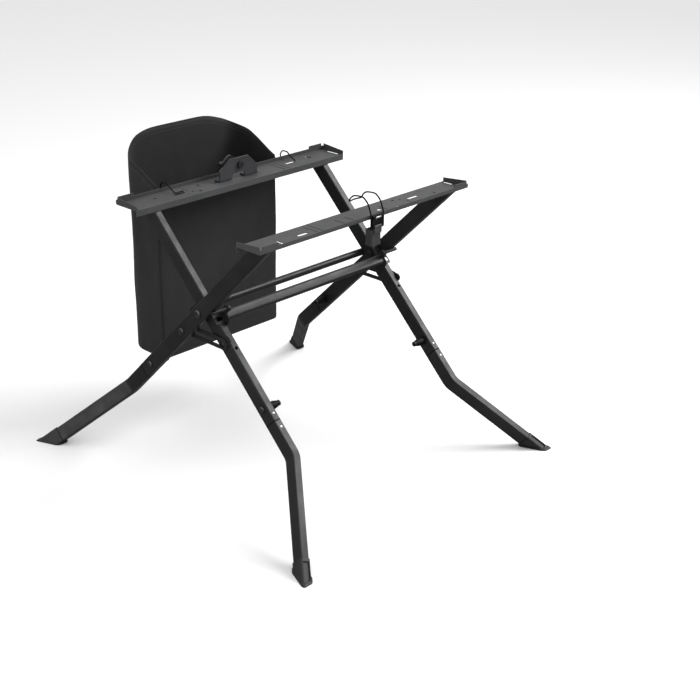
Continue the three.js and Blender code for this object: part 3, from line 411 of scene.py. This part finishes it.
# Finishes by slot name, and a few more that single nodes and small pieces wear
materials = {
    "tube_paint": paintMaterial("tubePaint"),
    "rail_paint": paintMaterial("railPaint"),
    "dark_steel": paintMaterial("darkSteel"),
    "plateSteel": paintMaterial("plateSteel"),
    "zinc": zincMaterial("zinc"),
    "brightZinc": zincMaterial("brightZinc"),
    "black_plastic": mouldedMaterial("blackPlastic"),
    "boxPlastic": mouldedMaterial("boxPlastic"),
    "glossPlastic": mouldedMaterial("glossPlastic"),
    "rubber": mouldedMaterial("rubber"),
    "bag_cloth": clothMaterial(),
}
# Nodes whose finish differs from their slot's
ownFinish = {
    "saw_bracket": "plateSteel", "hub_bolt": "dark_steel", "clamp_lever": "glossPlastic",
    "latch_lever": "boxPlastic", "latch_bail": "black_plastic",
    "bag_hook_left": "black_plastic", "bag_hook_right": "black_plastic",
}
print("materials ready:", len(materials))


# Mesh helpers
def addObject(bm, name, slot, body, replaced=(), finish=None):
    mesh = bpy.data.meshes.new(name)
    bm.to_mesh(mesh)
    bm.free()
    item = bpy.data.objects.new(name, mesh)
    bpy.context.collection.objects.link(item)
    mesh.materials.append(materials[finish or slot])
    for face in mesh.polygons:
        face.use_smooth = True
    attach(item, body)
    if replaced:
        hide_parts(*replaced)
    return item


def bevelEdges(bm, edges, width, segments):
    return bmesh.ops.bevel(
        bm, geom=edges, offset=width * mm, offset_type="OFFSET", affect="EDGES",
        segments=segments, profile=0.5, material=-1, clamp_overlap=True,
    )


# The pieces that keep their CAD shape: bevel widths in mm by the start of the node's name
softening = {
    "mergeReach": 0.002,
    "flatAngle": 0.5,
    "sharpAngle": 35,
    "segments": 2,
    "widths": {
        "rail": 0.7, "outer_leg": 0.5, "inner_leg": 0.5, "lower_leg": 0.5, "rear_cross": 0.4,
        "front_cross": 0.4, "rear_tube": 0.7, "front_tube": 0.7, "stop_bolt": 0.5, "pivot": 0.5,
        "link": 0.35, "catch": 0.35, "knee_insert": 0.3, "knee_bolt": 0.5, "knee_knob": 0.8,
        "foot": 0.9, "latch_clip": 0.5, "latch_lever": 1.0, "saw_bracket": 0.7, "hub_bolt": 0.6,
        "clamp_lever": 0.9,
    },
    "otherWidth": 0.4,
}


def nodeMesh(node):
    bm = bmesh.new()
    bm.from_mesh(frame["nodes"][node].data)
    bmesh.ops.remove_doubles(bm, verts=bm.verts, dist=softening["mergeReach"] * mm)
    bmesh.ops.dissolve_limit(
        bm, angle_limit=radians(softening["flatAngle"]), verts=bm.verts, edges=bm.edges,
    )
    return bm


def isSharp(edge):
    return len(edge.link_faces) == 2 and edge.calc_face_angle(0) > radians(softening["sharpAngle"])


def roundEdges(bm, width):
    sharp = [edge for edge in bm.edges if isSharp(edge)]
    # Bevel faces carry the edge mask, which gives scuffs and, on the bracket plate, painted shade
    wearAndShadeLayer = bm.loops.layers.float_color.new("edgeWearAndShade")
    paintFaces(bm.faces, wearAndShadeLayer, black)
    made = bevelEdges(bm, sharp, width, softening["segments"])
    paintFaces(made["faces"], wearAndShadeLayer, white)


def paintFaces(faces, layer, colour):
    for face in faces:
        for corner in face.loops:
            corner[layer] = colour


def softenNode(node):
    widths = [width for start, width in softening["widths"].items() if node.startswith(start)]
    bm = nodeMesh(node)
    roundEdges(bm, widths[0] if widths else softening["otherWidth"])
    item = addObject(bm, node + "_finished", nodeSlot[node], nodeBody[node], [node], ownFinish.get(node))
    weighted = item.modifiers.new("weighted", "WEIGHTED_NORMAL")
    weighted.keep_sharp = True


# The bag: a lofted shell with a level back edge, sloping sides and a sewn hem, in mm.
# Each rise table gives the rim's height share at a share of the way back or out to the side.
bag = {
    "left": 190, "right": 155, "front": 219.7, "depth": 125,
    "bottom": 191, "frontTop": 584.5, "backTop": 678.5, "cloth": 2.2,
    "frontRadius": 5, "rearRadius": 48, "leastRadius": 0.6, "floorRadius": 9,
    "sideRise": ((0, 0), (0.32, 0.27), (0.62, 0.49), (0.88, 0.7), (0.92, 1)),
    "leftRise": ((0.6, 1), (0.74, 0.92), (0.81, 0.82), (0.87, 0.7), (1, 0.45)),
    "rightRise": ((0.3, 1), (0.44, 0.96), (0.59, 0.88), (0.76, 0.77), (0.9, 0.65), (1, 0.54)),
    "smoothings": 8,
    "floorRows": 6, "filletRows": 4, "wallRows": 48, "cornerSteps": 12, "runSteps": (8, 30, 8, 30),
    "sag": 2.6, "holdPower": 0.6, "wave": (0.022, 0.006, 0), "fineWave": (0.06, 0.02, 9), "fineShare": 0.35,
    "frontReach": 1, "mergeReach": 0.01,
    "hemRadius": 1.6, "hemSteps": 4,
}
bagMiddle = Vector(((bag["right"] - bag["left"]) / 2, bag["front"] + bag["depth"] / 2, 0))


def cornerArc(centre, radius, start, steps):
    angles = [start + pi / 2 * i / steps for i in range(steps + 1)]
    return [(centre[0] + radius * cos(angle), centre[1] + radius * sin(angle)) for angle in angles]


def straightRun(first, last, steps):
    return [
        (first[0] + (last[0] - first[0]) * i / steps, first[1] + (last[1] - first[1]) * i / steps)
        for i in range(1, steps)
    ]


def bagPlan(inset=0.0):
    left, right = inset - bag["left"], bag["right"] - inset
    front, rear = bag["front"] + inset, bag["front"] + bag["depth"] - inset
    nearRadius = max(bag["frontRadius"] - inset, bag["leastRadius"])
    farRadius, steps = bag["rearRadius"] - inset, bag["cornerSteps"]
    corners = [
        cornerArc((right - nearRadius, front + nearRadius), nearRadius, -pi / 2, steps),
        cornerArc((right - farRadius, rear - farRadius), farRadius, 0, steps),
        cornerArc((left + farRadius, rear - farRadius), farRadius, pi / 2, steps),
        cornerArc((left + nearRadius, front + nearRadius), nearRadius, pi, steps),
    ]
    plan = []
    for i, corner in enumerate(corners):
        plan += corner
        plan += straightRun(corner[-1], corners[(i + 1) % 4][0], bag["runSteps"][i])
    return plan + plan[:1]


def filletAngle(step):
    return pi / 2 * step / bag["filletRows"]


bagPlans = {
    "floor": bagPlan(bag["floorRadius"]),
    "fillet": [bagPlan(bag["floorRadius"] * (1 - sin(filletAngle(i)))) for i in range(bag["filletRows"])],
    "wall": bagPlan(),
}


def shareAt(table, value):
    if value <= table[0][0]:
        return table[0][1]
    for (start, low), (end, high) in zip(table, table[1:]):
        if value <= end:
            return low + (high - low) * (value - start) / (end - start)
    return table[-1][1]


def rimHeights(wall):
    heights = []
    for x, y in wall[:-1]:
        side = shareAt(bag["sideRise"], (y - bag["front"]) / bag["depth"])
        hand = "left" if x < 0 else "right"
        back = shareAt(bag[hand + "Rise"], abs(x) / bag[hand])
        heights.append(bag["frontTop"] + (bag["backTop"] - bag["frontTop"]) * min(side, back))
    for _ in range(bag["smoothings"]):
        after = heights[1:] + heights[:1]
        heights = [(heights[i - 1] + 2 * heights[i] + after[i]) / 4 for i in range(len(heights))]
    return heights + heights[:1]


bagTops = rimHeights(bagPlans["wall"])


def bagPoint(column, row):
    floorRows, filletRows, radius = bag["floorRows"], bag["filletRows"], bag["floorRadius"]
    if row < floorRows:
        flat = Vector((*bagPlans["floor"][column], 0))
        spot = bagMiddle + (flat - bagMiddle) * (row / floorRows)
        return Vector((spot.x, spot.y, bag["bottom"]))
    if row < floorRows + filletRows:
        step = row - floorRows
        x, y = bagPlans["fillet"][step][column]
        return Vector((x, y, bag["bottom"] + radius * (1 - cos(filletAngle(step)))))
    x, y = bagPlans["wall"][column]
    share = (row - floorRows - filletRows) / (bag["wallRows"] - 1)
    low = bag["bottom"] + radius
    return Vector((x, y, low + (bagTops[column] - low) * share))


def clothWave(spot, across, upward, shift):
    return noise.noise(Vector((spot.x * across + shift, spot.y * across, spot.z * upward)))


# The cloth sags a little between its rim and its bottom, and never towards the rail in front
def settle(spot):
    share = min(1, max(0, (spot.z - bag["bottom"]) / (bag["backTop"] - bag["bottom"])))
    hold = sin(pi * share) ** bag["holdPower"]
    wave = clothWave(spot, *bag["wave"])
    if spot.y < bag["front"] + bag["frontReach"]:
        return spot + Vector((0, 1, 0)) * abs(wave) * bag["sag"] * hold
    fine = clothWave(spot, *bag["fineWave"]) * bag["fineShare"]
    away = Vector((spot.x - bagMiddle.x, spot.y - bagMiddle.y, 0)).normalized()
    return spot + away * (wave + fine) * bag["sag"] * hold


def buildBag():
    wall = bagPlans["wall"]
    columns = len(wall)
    rowCount = bag["floorRows"] + bag["filletRows"] + bag["wallRows"]
    bm = bmesh.new()
    bmesh.ops.create_grid(bm, x_segments=columns - 1, y_segments=rowCount - 1, size=1)
    uv = bm.loops.layers.uv.new("cloth")
    along = [0.0]
    for first, last in zip(wall, wall[1:]):
        along.append(along[-1] + (Vector(last) - Vector(first)).length)
    flat = {}
    for i, vert in enumerate(bm.verts):
        column, row = i % columns, i // columns
        spot = bagPoint(column, row)
        flat[vert] = Vector((along[column], spot.z - bagTops[column])) * mm
        vert.co = settle(spot) * mm
    for face in bm.faces:
        for corner in face.loops:
            corner[uv].uv = flat[corner.vert]
    bmesh.ops.remove_doubles(bm, verts=bm.verts, dist=bag["mergeReach"] * mm)
    bmesh.ops.recalc_face_normals(bm, faces=bm.faces)
    item = addObject(bm, "bag_shell", "bag_cloth", "inner_frame", ["bag"])
    thicken = item.modifiers.new("wall", "SOLIDIFY")
    thicken.thickness = bag["cloth"] * mm
    thicken.offset = -1


def buildHem():
    wall = bagPlans["wall"][:-1]
    data = bpy.data.curves.new("hemPath", "CURVE")
    data.dimensions = "3D"
    spline = data.splines.new("POLY")
    spline.points.add(len(wall) - 1)
    spline.use_cyclic_u = True
    for point, (x, y), top in zip(spline.points, wall, bagTops):
        inward = (bagMiddle - Vector((x, y, 0))).normalized() * bag["cloth"] / 2
        point.co = (*(Vector((x, y, top)) + inward) * mm, 1)
    data.bevel_depth = bag["hemRadius"] * mm
    data.bevel_resolution = bag["hemSteps"]
    source = bpy.data.objects.new("hemPath", data)
    bpy.context.collection.objects.link(source)
    bpy.context.view_layer.update()
    mesh = bpy.data.meshes.new_from_object(source)
    bpy.data.objects.remove(source)
    bm = bmesh.new()
    bm.from_mesh(mesh)
    bmesh.ops.recalc_face_normals(bm, faces=bm.faces)
    addObject(bm, "bag_hem", "bag_cloth", "inner_frame")


buildBag()
buildHem()
print("bag ready")

for node in frame["nodes"]:
    if node != "bag":
        softenNode(node)
print("steel and moulded pieces ready")

# Small pieces on the legs and tubes, in mm: rivets, dark seams, knob bands and weld beads
spinning = {"steps": 28, "mergeReach": 0.001}
legs = {
    "pivot": 392, "depth": 33, "width": 17, "seam": 262, "knee": 230,
    "place": {"front": 244, "rear": 265},
}


# The profile holds radius and height along the axis
def spun(profile, place, axis, closed=False):
    bm = bmesh.new()
    verts = [bm.verts.new((radius * mm, 0, height * mm)) for radius, height in profile]
    pairs = list(zip(verts, verts[1:])) + ([(verts[-1], verts[0])] if closed else [])
    edges = [bm.edges.new(pair) for pair in pairs]
    bmesh.ops.spin(
        bm, geom=verts + edges, cent=(0, 0, 0), axis=(0, 0, 1), dvec=(0, 0, 0), angle=2 * pi,
        steps=spinning["steps"], use_merge=True, use_duplicate=False,
    )
    bmesh.ops.remove_doubles(bm, verts=bm.verts, dist=spinning["mergeReach"] * mm)
    turn = Vector((0, 0, 1)).rotation_difference(Vector(axis)).to_matrix().to_4x4()
    bmesh.ops.transform(bm, matrix=Matrix.Translation(Vector(place) * mm) @ turn, verts=bm.verts)
    bmesh.ops.recalc_face_normals(bm, faces=bm.faces)
    return bm


# A spot on a leg from its x, its distance down the leg and its height above the middle; way is 1 at the rear
def legSpot(way, x, down, rise):
    share = sqrt(0.5)
    return Vector((x, way * share * (down + rise), legs["pivot"] + share * (rise - down)))


def legAxes(way):
    corner = legSpot(way, 0, 0, 0)
    return legSpot(way, 0, 1, 0) - corner, legSpot(way, 0, 0, 1) - corner


def eachLeg():
    for way, row, upper in ((-1, "front", "inner_frame"), (1, "rear", "outer_frame")):
        for side, label in ((-1, "left"), (1, "right")):
            yield way, row, upper, side, f"{row}_{label}"


rivet = {
    "downs": (248, 279),
    "profile": ((0, 1.1), (1.3, 0.95), (2.3, 0.5), (2.8, 0), (2.8, -0.3), (0, -0.3)),
}


def addRivets():
    for way, row, upper, side, label in eachLeg():
        for down in rivet["downs"]:
            body = "leg_" + label if down > legs["seam"] else upper
            place = legSpot(way, side * legs["place"][row], down, legs["depth"] / 2)
            bm = spun(rivet["profile"], place, (0, way, 1))
            addObject(bm, f"rivet_{label}_{down}", "zinc", body, finish="brightZinc")


# The bright sleeve in the latch clip's slot
sleeve = {"place": (10, -223, 583), "radius": 2.2, "halfLength": 8.2, "round": 0.5}


def addSleeve():
    radius, reach, corner = sleeve["radius"], sleeve["halfLength"], sleeve["round"]
    profile = (
        (0, -reach), (radius - corner, -reach), (radius, corner - reach),
        (radius, reach - corner), (radius - corner, reach), (0, reach),
    )
    bm = spun(profile, sleeve["place"], (1, 0, 0))
    addObject(bm, "latch_sleeve", "zinc", "outer_frame", finish="brightZinc")


# The dark line at each seam: a thin frame round the tube's end
seam = {"reach": 2.4, "grow": 0.2, "wall": 0.7, "corner": 2.8, "steps": 4}


def seamFrame():
    bm = bmesh.new()
    bmesh.ops.create_cube(bm, size=1)
    size = (legs["width"] + 2 * seam["grow"], legs["depth"] + 2 * seam["grow"], seam["reach"])
    bmesh.ops.scale(bm, vec=Vector(size) * mm, verts=bm.verts)
    bm.normal_update()
    ends = [face for face in bm.faces if abs(face.normal.z) > 0.5]
    bmesh.ops.delete(bm, geom=ends, context="FACES")
    upright = [edge for edge in bm.edges if len(edge.link_faces) == 2]
    bevelEdges(bm, upright, seam["corner"], seam["steps"])
    bmesh.ops.recalc_face_normals(bm, faces=bm.faces)
    bmesh.ops.solidify(bm, geom=bm.faces[:], thickness=seam["wall"] * mm)
    return bm


def addSeams():
    for way, row, _, side, label in eachLeg():
        down, rise = legAxes(way)
        turn = Matrix((Vector((1, 0, 0)), rise, down)).transposed().to_4x4()
        place = legSpot(way, side * legs["place"][row], legs["seam"] + seam["reach"] / 2, 0)
        bm = seamFrame()
        bmesh.ops.transform(bm, matrix=Matrix.Translation(place * mm) @ turn, verts=bm.verts)
        bmesh.ops.recalc_face_normals(bm, faces=bm.faces)
        addObject(bm, "seam_" + label, "black_plastic", "leg_" + label)


band = {"inner": 5.3, "outer": 5.9, "start": 27.9, "length": 1.6}


def addBands():
    inner, outer, length = band["inner"], band["outer"], band["length"]
    profile = ((inner, 0), (outer, 0), (outer, length), (inner, length))
    for way, row, _, side, label in eachLeg():
        start = legs["place"][row] - legs["width"] / 2 - band["start"]
        bm = spun(profile, legSpot(way, side * start, legs["knee"], 0), (-side, 0, 0), closed=True)
        addObject(bm, "band_" + label, "zinc", "knob_" + label)


# Weld beads where the cross tubes meet their brackets. The front tube is flat, so its beads are stretched.
bead = {
    "radius": 1.1, "steps": 10,
    "front": {"down": 28, "rise": 23, "radius": 6.5, "stretch": 5.5, "reach": 231.9},
    "rear": {"down": 24.7, "rise": 18.7, "radius": 8, "stretch": 0, "reach": 252.9},
}


def addBeads():
    angles = [2 * pi * i / bead["steps"] for i in range(bead["steps"])]
    for way, row, upper, side, label in eachLeg():
        tube = bead[row]
        down = legAxes(way)[0]
        place = legSpot(way, side * tube["reach"], tube["down"], tube["rise"])
        profile = [
            (tube["radius"] + bead["radius"] * cos(angle), bead["radius"] * sin(angle)) for angle in angles
        ]
        bm = spun(profile, place, (side, 0, 0), closed=True)
        for vert in bm.verts:
            lower = (vert.co - place * mm).dot(down) > 0
            vert.co += down * tube["stretch"] * mm * (1 if lower else -1)
        addObject(bm, "bead_" + label, "dark_steel", upper)


addRivets()
addSleeve()
addSeams()
addBands()
addBeads()
print("small pieces ready")
